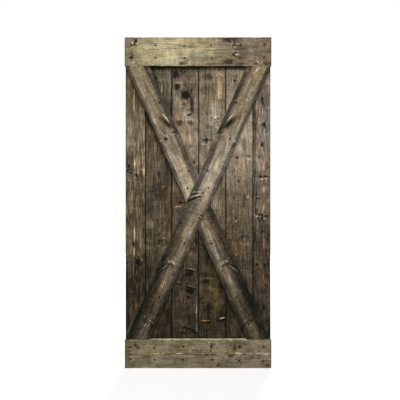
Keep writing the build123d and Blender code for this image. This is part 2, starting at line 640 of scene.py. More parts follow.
def light_and_shade_beside_face_boards():
    """Painted shadow on the planks under the top rail, and painted shade and light along the sides of the
    diagonals.
    """
    # A painted shadow under the top rail
    marks = [mark(0.0, -RAIL_HALF, 2000.0, 18.0, -34, soft=0.8)]
    for right, places in LIGHT_AND_SHADE_BESIDE_BRACES.items():
        tilt = math.degrees(BRACE_LEAN) * (1 if right else -1)
        for along, amounts in places:
            for across, amount in zip((-BRACE_HALF - 9.0, BRACE_HALF + 4.0), amounts):
                marks.append(mark(*on_brace(across, along, right), 26.0, 620.0, amount, tilt, 0.9))
    return marks


# Painted shadow and light for the planks, shared by all six
PAINTED_LIGHT_AND_SHADE = light_and_shade_beside_face_boards()


def plank(number, left, right, heart, streak, tint, fade, burls, knots, marks, tints):
    """A plank. Its marks are placed by X and Z of the leaf, and its fade by Z."""
    return Board(f"plank_{number}", number, (0.0, 0.0), (1.0, 0.0), (0.0, 1.0), (left, right),
                 hundredths(fade), heart, speckle=0.15, seams=(number > 1, number < 6), tint=tint,
                 knots=knots, marks=marks, tints=tints, burls=drawn(burls), painted_light_and_shade=PAINTED_LIGHT_AND_SHADE, streak=streak)


PLANKS = [
    plank(1, -470.5, -341.5, (20.0, 70.0), 1.4, tint=(1.0, 1.0, 0.97),
        fade=[(-1850, 25), (-1560, 25), (-1420, 30), (-1290, 39), (-1040, 44), (-700, 49), (-540, 58),
            (-420, 55), (-280, 45.5), (-100, 40)],
        burls=[(-400, -1380, 50, 70, 12), (-410, -790, 40, 40, 14), (-400, -1700, 60, 100, 6)],
        knots=knots((-452, -735, 9, 34), (-456, -768, 6, 30), (-400, -795, 9, 26), (-417, -1245, 7, 34),
            (-392, -1362, 12, 30), (-404, -1400, 8, 20)),
        marks=drawn(
            stains=[(-355, -520, 7, 90, 30), (-352, -770, 9, 60, 26), (-409, -560, 5, 42, -28),
                (-408, -850, 7, 34, 25), (-366, -1345, 10, 16, 34), (-440, -1345, 12, 10, 20),
                (-404, -1620, 4, 80, 22), (-436, -1700, 14, 150, 8), (-398, -800, 7, 20, -30, -40),
                (-404, -815, 16, 5, 26, 20), (-388, -782, 8, 20, 20), (-443, -780, 20, 7, -30),
                (-440, -760, 22, 5, -24), (-400, -1420, 60, 90, -6), (-398, -1370, 26, 40, -14)],
            cuts=[(-416, -318, 6, 106, 44), (-413, -722, 7, 48, 55), (-413, -1170, 7, 64, 44),
                (-414, -1295, 7, 42, 46)]),
        tints=tinted((RUSSET, -400, -1200, 120, 560, 80), (AMBER, -400, -200, 120, 160, 60))),
    plank(2, -341.5, -166.9, (-30.0, 60.0), 0.85, tint=(1.0, 1.0, 0.99),
        fade=[(-1850, 21.5), (-1660, 23.5), (-1430, 27), (-1290, 36), (-1170, 41), (-1040, 37), (-900, 35),
            (-660, 40), (-540, 38), (-410, 30), (-280, 41), (-100, 44)],
        burls=[(-229, -1215, 50, 66, 30), (-320, -1245, 26, 40, 20), (-230, -1080, 50, 60, 10)],
        knots=knots((-270, -166, 10, 26), (-229, -1231, 14, 5), (-322, -1243, 10, 14), (-255, -787, 9, 14),
            (-208, -880, 8, 18), (-235, -1110, 7, 18)),
        marks=drawn(
            stains=[(-300, -190, 46, 170, -16), (-238, -250, 6, 64, 34), (-214, -240, 5, 90, 20),
                (-182, -230, 12, 110, 16), (-256, -735, 5, 40, 26), (-240, -850, 60, 26, -10),
                (-222, -872, 22, 12, 20), (-332, -892, 9, 8, 34), (-305, -1115, 28, 40, 20),
                (-254, -1150, 5, 34, 30), (-240, -700, 7, 60, 10), (-322, -1270, 10, 10, 22),
                (-330, -1225, 6, 10, 16), (-190, -1600, 40, 300, -8)],
            arcs=[(-322, -898, 26, 16, -30, 170, 60, 0.2), (-229, -1225, 36, 44, 24, 180, 70, 0.16),
                (-229, -1231, 25, 30, -16, 200, 110, 0.2)]),
        tints=tinted((SLATE, -250, -200, 110, 230, 100, 0, 0.5), (AMBER, -230, -620, 50, 200, 80),
            (OLIVE, -240, -1700, 90, 260, 70))),
    plank(3, -166.9, 7.7, (10.0, 80.0), 0.75, tint=(1.01, 0.99, 1.0),
        fade=[(-1850, 23.5), (-1660, 29.5), (-1540, 30), (-1420, 29), (-1290, 41), (-1160, 49), (-1040, 42),
            (-910, 47), (-790, 58), (-660, 69), (-540, 69), (-410, 66), (-280, 55), (-100, 50)],
        burls=[(-85, -1700, 70, 130, 12), (-40, -710, 30, 40, 12), (-50, -400, 30, 30, 10),
            (-90, -1500, 70, 120, 8)],
        knots=knots((-75, -277, 25, 40), (-91, -332, 7, 30), (-28, -712, 10, 20)),
        marks=drawn(
            stains=[(-144, -142, 32, 42, -34), (-75, -277, 36, 36, -20, 0, 0.9), (-122, -193, 42, 6, 24),
                (-138, -222, 26, 28, -40, 20, 0.7), (-132, -320, 34, 56, 10),
                (-38, -348, 20, 60, -36, -6, 0.65), (-84, -320, 12, 14, 12), (-84, -388, 14, 50, 10),
                (-120, -460, 28, 30, -34, 0, 0.65), (-48, -457, 32, 22, -36, 20, 0.65),
                (-78, -430, 5, 50, 16), (-140, -415, 22, 26, 14), (-80, -560, 60, 50, 12),
                (-54, -635, 8, 12, 24), (-26, -655, 18, 22, -14), (-140, -890, 24, 36, 6),
                (-112, -975, 38, 10, -46, 0, 0.7), (-118, -952, 46, 28, -12),
                (-128, -1000, 40, 4, 38, -4, 0.62), (-150, -1060, 16, 70, 10), (-12, -1225, 16, 40, -34),
                (-40, -1277, 42, 5, -30), (-55, -1308, 45, 16, 12), (-104, -1398, 26, 5, -30, -14, 0.62),
                (-54, -1438, 34, 26, -34, 0, 0.65), (-122, -1492, 26, 3.4, 26, 18, 0.62),
                (-52, -1552, 32, 24, -34, 0, 0.65), (-62, -1592, 16, 14, -34, 0, 0.65),
                (-10, -1680, 5, 76, 60), (-9, -1790, 4, 50, 28), (-112, -1580, 24, 46, 12),
                (-74, -1776, 40, 4, 16, 12)],
            cuts=[(-50, -1404, 46, 4, 36, 12), (-50, -1415, 42, 9, -42, 12), (-124, -1502, 24, 7, -36, 18),
                (-46, -1518, 44, 3.4, 26, 14), (-48, -1530, 42, 9, -42, 14), (-60, -1796, 46, 7, -50, 14),
                (-90, -1782, 26, 5, -44, -12), (-24, -1816, 26, 8, -46, 20), (-96, -1822, 28, 6, -40, 8)],
            slits=[(-110, -120, 13, 4.5, -60, 25), (-90, -127, 13, 4.5, -60, -15),
                (-52, -402, 17, 8, -70, -30), (-50, -608, 11, 4, -50), (-96, -1612, 2.8, 34, -45)],
            arcs=[(-28, -712, 20, 22, 20, 200, 70, 0.16)]),
        tints=tinted((PLUM, -80, -1500, 120, 500, 90), (SLATE, -130, -130, 50, 70, 80),
            (RUSSET, -120, -960, 70, 120, 100, 0, 0.6))),
    plank(4, 7.7, 182.3, (-15.0, 75.0), 0.65, tint=(1.0, 1.0, 1.01),
        fade=[(-1850, 26.5), (-1540, 30), (-1300, 29), (-1160, 44), (-1000, 53), (-800, 59), (-540, 65.5),
            (-400, 61), (-100, 57)],
        burls=[(105, -430, 58, 70, 20), (50, -1660, 60, 70, 10), (140, -1725, 40, 30, 10)],
        knots=knots((53, -573, 11, 26), (152, -1728, 20, 16)),
        marks=drawn(
            stains=[(62, -158, 46, 34, -22), (54, -246, 48, 50, -22), (138, -232, 26, 96, 18, 0, 0.65),
                (133, -275, 8, 40, 14), (116, -370, 56, 84, 13), (114, -421, 12, 8, 40),
                (134, -436, 20, 5, 20, -30), (80, -418, 20, 4, -25, 30), (120, -482, 26, 4, 32, 35),
                (60, -482, 30, 20, -10), (58, -566, 52, 10, -34), (42, -593, 34, 4, 30),
                (32, -700, 22, 90, 8), (150, -830, 16, 70, -18), (156, -900, 12, 60, -8),
                (130, -1010, 30, 100, 6), (38, -1250, 20, 40, -6), (50, -1440, 44, 17, -13, 0, 0.62),
                (50, -1486, 42, 20, -18, 0, 0.62), (86, -1530, 44, 13, 12, 50), (120, -1550, 26, 60, 10),
                (120, -1640, 4, 50, 20), (58, -1664, 50, 46, -15, 0, 0.62),
                (146, -1741, 42, 12, -24, -14, 0.7), (110, -960, 24, 70, 16)],
            cuts=[(66, -1467, 66, 3, 30)],
            slits=[(48, -1741, 44, 5, 46), (157, -1725, 24, 6.5, 100, -16)],
            arcs=[(138, -170, 27, 34, 20, 0, 70, 0.2), (105, -430, 44, 24, 26, 20, 100, 0.14),
                (112, -415, 30, 18, -22, 200, 90, 0.18), (105, -430, 58, 36, 20, 200, 80, 0.1),
                (150, -980, 62, 110, 60, 270, 40, 0.07), (58, -1660, 54, 54, 12, 20, 120, 0.12),
                (50, -1738, 42, 18, -26, 180, 80, 0.34)]),
        tints=tinted((AMBER, 95, -1560, 120, 420, 95), (OLIVE, 60, -220, 70, 110, 70),
            (TAN, 48, -1741, 60, 9, 100, 0, 0.4))),
    plank(5, 182.3, 356.9, (25.0, 85.0), 0.62, tint=(1.0, 0.99, 1.02),
        fade=[(-1850, 28), (-1600, 27), (-1420, 41), (-1290, 40), (-1160, 46), (-1040, 53), (-900, 56),
            (-790, 68), (-660, 73), (-410, 78), (-280, 71), (-100, 62)],
        burls=[(250, -185, 24, 50, 12), (300, -1200, 50, 60, 10), (245, -1090, 34, 60, 12),
            (328, -930, 30, 40, 12)],
        knots=knots((238, -179, 7, 42), (256, -680, 8, 34), (262, -836, 6, 42), (249, -1075, 8, 18),
            (235, -943, 8, 16)),
        marks=drawn(
            stains=[(247, -199, 10, 3, -40, 20), (226, -190, 3, 50, 16), (330, -672, 26, 9, -30),
                (328, -691, 26, 4, 34), (336, -712, 6, 6, -20), (250, -755, 5, 16, 30),
                (247, -790, 4, 24, -16), (326, -930, 10, 14, 34, 20), (297, -1005, 5, 12, -22),
                (221, -1095, 7, 9, -32), (262, -1095, 7, 9, -32), (248, -1097, 6, 8, 34),
                (247, -1148, 7, 8, -20), (247, -1165, 6, 6, 20), (247, -1312, 7, 20, 30, 10),
                (302, -1212, 12, 8, 18), (300, -1240, 34, 26, 8), (236, -1290, 20, 60, 6),
                (190, -1720, 50, 160, -10)],
            slits=[(250, -154, 3.5, 13, -50, -12)],
            arcs=[(330, -935, 28, 26, -34, 250, 60, 0.2), (303, -1206, 26, 20, -22, 20, 100, 0.3),
                (303, -1213, 40, 34, 14, 190, 80, 0.2)]),
        tints=tinted((AMBER, 230, -1650, 90, 260, 95), (RUSSET, 260, -1180, 120, 420, 90))),
    plank(6, 356.9, 470.5, (-25.0, 65.0), 0.95, tint=(1.01, 0.99, 1.08),
        fade=[(-1850, 22), (-1540, 28), (-1410, 34), (-1280, 33.5), (-1160, 40), (-1040, 50), (-910, 53),
            (-790, 63), (-600, 64), (-410, 60), (-280, 54), (-100, 56)],
        burls=[(420, -300, 30, 40, 12), (430, -470, 36, 40, 16), (425, -600, 36, 40, 16),
            (425, -810, 44, 40, 18), (415, -1065, 44, 50, 18), (412, -1390, 44, 60, 14),
            (420, -1660, 40, 60, 12)],
        knots=knots((418, -300, 9, 34), (433, -468, 12, 40), (420, -598, 12, 38), (403, -680, 8, 24),
            (406, -803, 8, 26), (440, -803, 8, 26), (410, -1074, 14, 20), (447, -1062, 9, 24),
            (387, -1378, 8, 34), (436, -1382, 9, 32), (430, -1654, 7, 24), (417, -1165, 7, 24)),
        marks=drawn(
            stains=[(372, -450, 11, 140, -20), (420, -385, 5, 40, 32), (442, -470, 6, 10, 34),
                (418, -618, 5, 20, 40), (450, -610, 5, 20, -16), (427, -735, 5, 44, 36),
                (425, -806, 52, 9, -36), (412, -822, 18, 3.6, 55, 15, 0.62),
                (440, -816, 18, 3.6, 45, -20, 0.62), (398, -800, 12, 3, 30, -30, 0.62),
                (388, -936, 26, 3.5, 40, -8), (388, -947, 28, 4, -40, -8),
                (394, -1066, 34, 4, 46, 14, 0.62), (394, -1052, 36, 5, -40, 14, 0.62),
                (432, -1078, 24, 4, 46, -14, 0.62), (440, -1052, 20, 3, 34, 20, 0.62),
                (372, -880, 20, 210, -16), (372, -1200, 16, 150, -10), (429, -1240, 4.5, 54, 40),
                (380, -1030, 16, 26, -16), (443, -1385, 5, 10, 45), (426, -1458, 8, 14, 26),
                (429, -1530, 5, 6, 30), (392, -1720, 10, 120, 6), (463, -1820, 14, 44, -30),
                (366, -560, 20, 480, -14)],
            cuts=[(428, -888, 4, 34, 60), (429, -1008, 3.6, 30, 46)],
            slits=[(418, -322, 3, 18, -35)],
            arcs=[(422, -625, 34, 30, 22, 0, 70, 0.14)]),
        tints=tinted((SLATE, 415, -400, 90, 420, 70), (RUSSET, 415, -1300, 90, 400, 60))),
]


# The rails

# The dirt on a rail's ends: its half sizes, and how much it darkens
RAIL_END = (140, 13, -24)


def rail(name, seed, middle_z, heart, streak, side_light_and_shade, nails, fade, burls, knots, marks, tints):
    """A rail. Its marks are placed by height from its middle line, and by X of the leaf."""
    ends = [mark(0, side * (RAIL_REACH + 2), *RAIL_END) for side in (-1, 1)]
    return Board(name, seed, (0.0, middle_z), (0.0, 1.0), (1.0, 0.0), (-RAIL_HALF, RAIL_HALF),
                 hundredths(fade), heart, speckle=0.10, streak=streak, knots=knots, marks=marks + ends,
                 tints=tints, burls=drawn(burls), nails=[(z, x) for x, z in nails], side_light_and_shade=side_light_and_shade)


RAILS = [
    # The top rail's underside gets painted shade
    rail("top_rail", 7, 0.0, (30.0, 110.0), 0.4, side_light_and_shade=(-0.55, 0.0),
        nails=[(-429, 39), (-274, 40), (-89, 36), (86, 40), (276, 41), (429, 46), (-434, -41), (-274, -41),
            (-87, -43), (90, -45), (272, -41), (426, -38)],
        fade=[(-474, 62), (-432, 64), (-368, 76), (-303, 77), (-239, 84), (-174, 84), (-45, 75), (19, 72),
            (84, 71), (213, 60), (277, 51), (342, 60), (474, 56)],
        burls=[(50, -415, 36, 34, 20), (-30, -428, 44, 26, 20), (46, 236, 34, 36, 24),
            (-20, 245, 34, 34, 22), (-62, -70, 34, 60, 14), (-72, -295, 20, 24, 12),
            (-70, 395, 26, 30, 16)],
        knots=knots((62, -404, 9, 30), (-41, -434, 7, 30), (-22, 231, 7, 28), (42, 236, 6, 24)),
        marks=drawn(
            stains=[(60, -402, 30, 11, -30, 0, 0.65), (80, -412, 10, 26, -16), (-30, -428, 26, 18, -16),
                (14, -423, 4, 7, -35), (50, -420, 10, 4, 34), (28, -424, 8, 4, 30), (-70, -418, 12, 16, 16),
                (-66, -398, 16, 6, -14), (20, -148, 4, 11, -34), (24, -290, 3, 6, -25),
                (-18, -290, 4, 8, -14), (-83, -291, 6, 5, 40), (-70, -137, 11, 3, 36),
                (-83, -124, 5, 5, -30), (-73, -58, 11, 5, 40), (-36, -52, 4, 9, -34), (-36, -70, 3, 8, 30),
                (-58, -84, 7, 14, -12), (-68, 30, 10, 7, -34), (-66, 44, 9, 4, 20), (74, 208, 24, 66, -36),
                (84, 240, 10, 70, -20), (30, 236, 4, 6, 45), (56, 300, 3, 44, 24), (-2, 262, 3, 12, 25),
                (-66, 198, 25, 50, -42, 0, 0.65), (-80, 110, 11, 100, -22), (18, 130, 2.6, 200, 12),
                (2, 170, 2.6, 190, 12), (-24, 60, 2.4, 160, 10), (-70, 232, 16, 18, 10),
                (-80, 285, 9, 44, -24), (-62, 340, 9, 30, -14), (-78, 372, 8, 30, -20),
                (-80, 444, 16, 36, -26), (-12, 342, 5, 7, -30), (-41, 368, 5, 7, -24),
                (28, 430, 5, 10, -20), (20, -60, 34, 160, 4), (82, -200, 12, 160, -10),
                (-18, 60, 5, 150, 12), (-30, 120, 4, 120, -14), (6, -20, 4, 100, 10)],
            cuts=[(-14, -430, 4, 17, -40, 10), (-42, -425, 4, 24, -36, -10), (-28, -416, 3, 12, -36, 40),
                (-26, -438, 3, 12, 26, -30), (-76, -98, 15, 32, -36), (41, 246, 4.5, 30, -50, -4),
                (62, 220, 22, 3, 40, 12), (49, 250, 3, 28, 40, 8), (34, 224, 12, 3, -40, -20),
                (-10, 242, 4, 24, -50, 16), (-34, 254, 4, 24, -50, -6), (-21, 248, 4, 14, 40, 20),
                (-18, 222, 16, 3, -36, 14), (-68, 388, 17, 3, 40, 32), (-74, 407, 13, 3, 40, -32),
                (-66, 398, 16, 3, -36, 30)],
            slits=[(72, -396, 14, 3, -45, 30), (44, -414, 12, 3, -45, -25), (52, -398, 3, 12, 34),
                (-70, -297, 13, 3, -45, 20), (-52, -66, 12, 3, -40, 15)]),
        tints=tinted((OLIVE, 0, -160, 260, 520, 100, 0, 0.6))),
    # The bottom rail's underside gets painted shade, and its top side a painted highlight
    rail("bottom_rail", 8, BOTTOM_RAIL_Z, (-20.0, 90.0), 0.5, side_light_and_shade=(-0.3, 0.22),
        nails=[(-436, 46), (-281, 39), (-94, 47), (85, 45), (267, 48), (423, 45), (-436, -35), (-281, -37),
            (-97, -37), (91, -37), (267, -43), (421, -48)],
        fade=[(-474, 62), (-432, 63), (-368, 64.5), (-303, 67), (-174, 63.5), (-110, 66), (84, 66),
            (213, 63), (277, 60), (342, 64), (474, 64)],
        burls=[(30, -40, 60, 200, 10), (30, 230, 60, 110, 10), (-10, 380, 50, 90, 14),
            (50, -395, 34, 34, 16), (60, 95, 30, 30, 16)],
        knots=knots((57, -402, 9, 34), (66, 86, 6, 28), (-12, 207, 7, 28), (-72, 130, 7, 24)),
        marks=drawn(
            stains=[(38, -384, 15, 22, -30), (80, -405, 9, 7, -30), (50, -378, 8, 12, -20),
                (-2, 0, 3, 480, -26), (3, -186, 2.5, 12, 34), (-3, -190, 3, 40, -20), (1, -70, 3, 30, -28),
                (-1, 30, 3, 24, 24), (2, 150, 3, 40, 22), (1, 330, 3, 26, 40), (3, 385, 4, 12, 50),
                (1, 438, 3, 26, 34), (-4, 100, 5, 30, -26), (-6, 56, 7, 8, -40), (-2, -420, 4, 40, -24),
                (80, 100, 9, 20, -14), (84, 116, 4, 12, 30), (60, 210, 26, 14, -18), (40, 238, 26, 18, -24),
                (46, 268, 18, 14, -18), (-12, 222, 12, 12, -20), (-62, 136, 16, 5, -30),
                (-76, 150, 12, 10, -20), (17, 396, 7, 6, -40), (-10, 392, 5, 9, -30), (-16, 350, 5, 8, -30),
                (-26, 345, 9, 12, -14), (-76, 452, 18, 18, -30), (76, -232, 5, 13, -20),
                (70, -50, 6, 12, -20), (-34, -126, 5, 7, -20), (0, -450, 100, 16, -12),
                (20, 440, 80, 50, 4), (30, -60, 26, 70, 4)],
            cuts=[(48, 84, 20, 4, -40, 6), (20, 82, 14, 5, -40, -10), (58, 96, 3, 22, -36, 20),
                (70, 74, 3, 14, 30, -20)],
            slits=[(2, -268, 3, 24, 50), (2, -222, 2.6, 14, 44), (3, -124, 3.4, 26, 60),
                (3, 262, 4, 34, 46)],
            arcs=[(66, 100, 14, 18, 26, 20, 70, 0.2), (56, 212, 26, 12, 26, 90, 60, 0.24)]),
        tints=tinted((OLIVE, 0, -200, 260, 560, 80, 0, 0.6))),
]


# The diagonals

# Marks on the upper half of a diagonal: across is measured up from its middle line
UPPER_HALF = drawn(
    stains=[(-57, 460, 16, 9, 34), (-60, 430, 12, 24, -12), (-14, 485, 6, 14, -20), (0, 935, 5, 22, 30),
        (-40, 800, 5, 120, 8), (26, 700, 4, 110, 8), (-44, 610, 12, 60, 10), (-14, 520, 26, 50, -8),
        (16, 810, 14, 90, 6), (58, 425, 18, 50, 18), (-42, 560, 12, 60, 8), (58, 905, 22, 26, 18, -30),
        (-58, 700, 14, 260, -7), (-52, 400, 14, 90, -10)],
    cuts=[(13, 562, 22, 74, -28, -21), (26, 546, 10, 54, -32, -22), (57, 497, 6, 54, -20, -19),
        (42, 556, 3.4, 40, -34, -18)],
    slits=[(33, 582, 3.2, 48, 80, -18)],
    arcs=[(25, 427, 42, 42, 28, 35, 45, 0.1), (25, 427, 54, 54, -22, 35, 50, 0.12)])

# Marks on its lower half
LOWER_HALF = drawn(
    stains=[(14, -424, 12, 7, 20), (42, -130, 30, 90, 3), (33, -405, 8, 8, 30), (56, -415, 10, 30, -12),
        (-45, -470, 18, 40, 6), (14, -812, 9, 9, 30), (-22, -818, 5, 12, 30, 30), (-28, -829, 8, 8, -26),
        (-9, -858, 9, 11, 26), (10, -836, 12, 9, -24), (2, -290, 16, 80, -8), (10, -885, 22, 70, 10),
        (-46, -870, 12, 80, -8), (56, -550, 20, 70, 6)],
    cuts=[(31, -490, 4, 62, -26, -30), (39, -482, 5, 58, 26, -30), (47, -474, 3.4, 60, -26, -30),
        (-34, -468, 3.5, 28, -40, 27), (-8, -575, 4, 95, 24), (-18, -560, 3, 70, 18), (4, -590, 3, 70, 18),
        (10, -290, 3, 95, 14), (-12, -240, 3, 110, 14), (-24, -340, 3, 80, 14), (-1, -320, 2.6, 90, -14),
        (-13, -600, 2.4, 90, -16), (-46, -840, 5, 24, -34, 48), (-37, -823, 3.5, 26, 40, 73)],
    arcs=[(2, -446, 34, 32, 36, -5, 62, 0.22), (2, -456, 24, 24, -30, 0, 80, 0.26)])

# The torn wood where the through diagonal passes the two halves of the other one
CROSSING_MARKS = drawn(
    stains=[(40, -55, 36, 70, 3), (-50, 10, 18, 90, 10), (0, 0, 22, 90, -5), (33, 89, 7, 9, 20),
        (8, 84, 5, 14, -20, 20)],
    cuts=[(-4, 70, 6, 18, -60, -58), (0, 56, 3.5, 9, 50, -50)],
    slits=[(38.5, 30, 6, 46, 48, -49.5), (38, 32, 1.6, 32, -30, -50), (40, 45, 4, 36, -64, -56),
        (40, 58, 3.4, 34, 40, -62.7), (30, 17, 6.5, 64, -85, -44), (-52, -77, 17, 3, 45, -18),
        (-54, -87, 17, 4, -45, -18), (-50, -68, 15, 3, -25, -18)])

# How the tone of a diagonal's brightest part changes up it from the crossing
BRACE_FADE = [(-960, 40), (-840, 38), (-700, 45), (-590, 47), (-500, 53), (-350, 65), (-150, 67), (-45, 71),
    (135, 79), (315, 77), (400, 70), (560, 61), (790, 60), (930, 59)]
BRACE_BURLS = [(-10, 460, 60, 50, 12), (0, -440, 70, 50, 12), (-10, -835, 60, 50, 18),
    (-56, 230, 14, 240, 12)]
BRACE_TINTS = tinted((STRAW, -6, 780, 50, 330, 100, 0, 0.5), (OLIVE, -60, 720, 22, 330, 100),
    (BUTTER, 0, 930, 70, 60, 100), (MOSS, 55, -800, 50, 330, 100, 0, 0.5), (OLIVE, -60, -800, 26, 330, 80),
    (SLATE, 58, 480, 34, 760, 100, 0, 0.4), (SLATE, -58, 200, 22, 300, 100, 0, 0.5),
    (PINE, 62, -880, 40, 160, 100, 0, 0.5), (BUTTER, 40, 40, 16, 50, 100, -52))


def brace(name, seed, right, knots, marks, nails):
    """A diagonal board. Its marks are placed from the crossing: across its middle line and up it."""
    side = 1.0 if right else -1.0
    sine, cosine = math.sin(BRACE_LEAN), math.cos(BRACE_LEAN)
    return Board(name, seed, (0.0, CROSSING_Z), (-side * cosine, sine), (side * sine, cosine),
                 (-BRACE_HALF, BRACE_HALF), hundredths(BRACE_FADE), (0.0, 95.0), speckle=0.18,
                 tint=(1.0, 1.0, 1.05), knots=knots, marks=marks, nails=nails, profiled=True,
                 # Both sides of a diagonal get painted shade, the lower one more
                 side_light_and_shade=(-0.12, -0.05), burls=drawn(BRACE_BURLS), tints=BRACE_TINTS)


UPPER_NAILS = [(33, 690), (27, 212), (-24, 113)]
LOWER_NAILS = [(-28, -275), (-19, -658)]
UPPER_KNOTS = knots((-21, 460, 7, 34))
BRACES = [
    brace("brace_through", 9, True, UPPER_KNOTS, UPPER_HALF + LOWER_HALF + CROSSING_MARKS,
          UPPER_NAILS + [(46, -166)] + LOWER_NAILS),
    brace("brace_upper_left", 10, False, UPPER_KNOTS, UPPER_HALF + drawn(
        stains=[(-45, 60, 34, 90, 18), (0, 640, 70, 380, 3), (-10, 220, 50, 150, -5)]), UPPER_NAILS),
    brace("brace_lower_right", 11, False, knots((-24, -830, 6, 20)), LOWER_HALF, [(31, -152)] + LOWER_NAILS),
]


# The boards' profiles

FACE_STEP = 2.6
PLANK_ROW = 9.0
FACE_BOARD_ROW = 5.0
KNOT_ROW = 4.0
END_ROWS = (0.4, 1.2, 2.6)
SAWN_ROUND = 0.8
ROUND_STEPS = 4
LIGHT_CUT = 0.5
DARK_CUT = 2.0
NAIL_DIMPLE = 1.0
NAIL_DIMPLE_RADIUS = 5.0
CREASE = math.radians(40.0)

ProfilePoint = namedtuple("ProfilePoint", "across depth out_across out_depth wear side")

# How a board's profile is run along its grain: where it starts and ends at each place across
Shape = namedtuple("Shape", "profile start end step end_round")


def face_points(start, end, depth, out_depth, count):
    """Points of a wide face. The wear dies away from its edges."""
    points = []
    for k in range(count + 1):
        across = start + (end - start) * k / count
        to_start, to_end = abs(across - start), abs(across - end)
        side = (-1 if to_start < to_end else 1) * (1 if end > start else -1)
        wear = 0.8 * math.exp(-min(to_start, to_end) / 2.5)
        points.append(ProfilePoint(across, depth, 0.0, out_depth, wear, side))
    return points


def side_points(places, side, wears):
    """Points down a side, from the front face to the back one, with what the wear takes off at each."""
    return [ProfilePoint(across, depth, side * out_across, out_depth, wear, side)
            for (across, depth, out_across, out_depth), wear in zip(places, wears)]


def jointed_side(edge, side, joint):
    """A plank's side with a bevel, its half of a joint and a back bevel, from front to back."""
    places = [(edge, PLANK_FRONT + FRONT_BEVEL, 0.7, -0.7)]
    places += [(across, depth, 1.0, 0.0) for across, depth in joint]
    places += [(edge, LEAF_THICKNESS - BACK_BEVEL, 0.7, 0.7)]
    return side_points(places, side, [0.4] + [0.0] * len(joint) + [0.4])


def grooved_side(edge):
    """A plank's left side."""
    middle = (PLANK_FRONT + LEAF_THICKNESS) / 2
    half = TONGUE_THICKNESS / 2 + TONGUE_CLEARANCE
    floor = edge + TONGUE_LENGTH + GROOVE_EXTRA_DEPTH
    return jointed_side(edge, -1, [(edge, middle - half), (floor, middle - half),
                                   (floor, middle + half), (edge, middle + half)])


def tongued_side(edge):
    """A plank's right side."""
    middle = (PLANK_FRONT + LEAF_THICKNESS) / 2
    half = TONGUE_THICKNESS / 2
    tip = edge + SEAM_GAP + TONGUE_LENGTH
    nose = tip - TONGUE_NOSE
    return jointed_side(edge, 1, [(edge, middle - half), (nose, middle - half),
                                  (tip, middle - half + TONGUE_NOSE), (tip, middle + half - TONGUE_NOSE),
                                  (nose, middle + half), (edge, middle + half)])


def sawn_side(edge, side, front, back, radius):
    """A straight side with its front edge rounded off."""
    places, wears = [], []
    for k in range(1, ROUND_STEPS + 1):
        turn = math.pi / 2 * k / ROUND_STEPS
        places.append((edge - side * radius * (1 - math.sin(turn)), front + radius * (1 - math.cos(turn)),
                       math.sin(turn), -math.cos(turn)))
        wears.append(1.0 - 0.2 * k)
    for share in (0.35, 0.7):
        places.append((edge, front + radius + share * (back - front - radius), 1.0, 0.0))
        wears.append(0.1)
    return side_points(places, side, wears)


def plank_side(edge, side, jointed):
    """A plank's side, and how far its front and back faces stop short of it."""
    if jointed:
        joint = tongued_side(edge) if side > 0 else grooved_side(edge)
        return joint, FRONT_BEVEL, BACK_BEVEL
    return sawn_side(edge, side, PLANK_FRONT, LEAF_THICKNESS, SAWN_ROUND), SAWN_ROUND, 0.0


def plank_profile(board):
    """A plank's front, right side, back and left side."""
    low = board.sides[0] + SEAM_GAP / 2 * board.seams[0]
    high = board.sides[1] - SEAM_GAP / 2 * board.seams[1]
    left_side, front_low, back_low = plank_side(low, -1, board.seams[0])
    right_side, front_high, back_high = plank_side(high, 1, board.seams[1])
    pairs = max(2, round((high - low) / (2 * FACE_STEP)))
    front = face_points(low + front_low, high - front_high, PLANK_FRONT, -1.0, 2 * pairs)
    back = face_points(high - back_high, low + back_low, LEAF_THICKNESS, 1.0, pairs)
    return front, right_side, back, left_side[::-1]


def face_board_profile(board, radius):
    """The front, right side, back and left side of a rail or a diagonal."""
    low, high = board.sides
    pairs = max(2, round((high - low) / (2 * FACE_STEP)))
    front = face_points(low + radius, high - radius, 0.0, -1.0, 2 * pairs)
    back = face_points(high, low, PLANK_FRONT, 1.0, pairs)
    right_side, left_side = (sawn_side(edge, side, 0.0, PLANK_FRONT, radius)
                             for edge, side in ((high, 1), (low, -1)))
    return front, right_side, back, left_side[::-1]


# What the weather has taken off the boards


def bell(distance):
    """A smooth bump: one at zero, falling away on both sides."""
    return math.exp(-distance * distance)


def knot_relief(spot, across, along):
    """A knot stands a little proud, with a checked core and a crack round it."""
    u = (across - spot.across) / spot.radius
    v = (along - spot.along) / (spot.radius * 1.15)
    distance = math.hypot(u, v)
    if distance > 3.2:
        return 0.0
    worn = 0.55 * bell((distance - 1.0) / 0.2) - 0.28 * bell(distance / 1.7)
    if distance < 0.9:
        for du, dv in KNOT_SPLITS:
            worn += 0.6 * bell((u * du + v * dv) / SPLIT_WIDTH)
    return worn


def cut_relief(m, across, along):
    """A narrow dark mark is a cut in the face, and a pale one is torn out a little."""
    lean = math.radians(m.tilt)
    x, z = across - m.across, along - m.along
    u = (x * math.cos(lean) - z * math.sin(lean)) / m.half_across
    v = (x * math.sin(lean) + z * math.cos(lean)) / m.half_along
    distance = math.hypot(u, v)
    if distance >= 1.0:
        return 0.0
    depth = -m.amount * DARK_CUT if m.amount < 0 else m.amount * LIGHT_CUT
    return depth * (1.0 - distance * distance)


def weathering(board, across, along, layer):
    """What the weather has taken off a face between its knots, in millimetres."""
    x, z = across + board.seed * 137.0, along + board.seed * 913.0
    x += 9.0 * noise.noise(Vector((x * 0.012, z * 0.004, layer)))
    ridge = noise.noise(Vector((x / 6.5, z / 170.0, layer + 3.1)))
    broad = noise.noise(Vector((x / 24.0, z / 420.0, layer + 7.7)))
    return 0.36 + 0.20 * ridge + 0.16 * broad


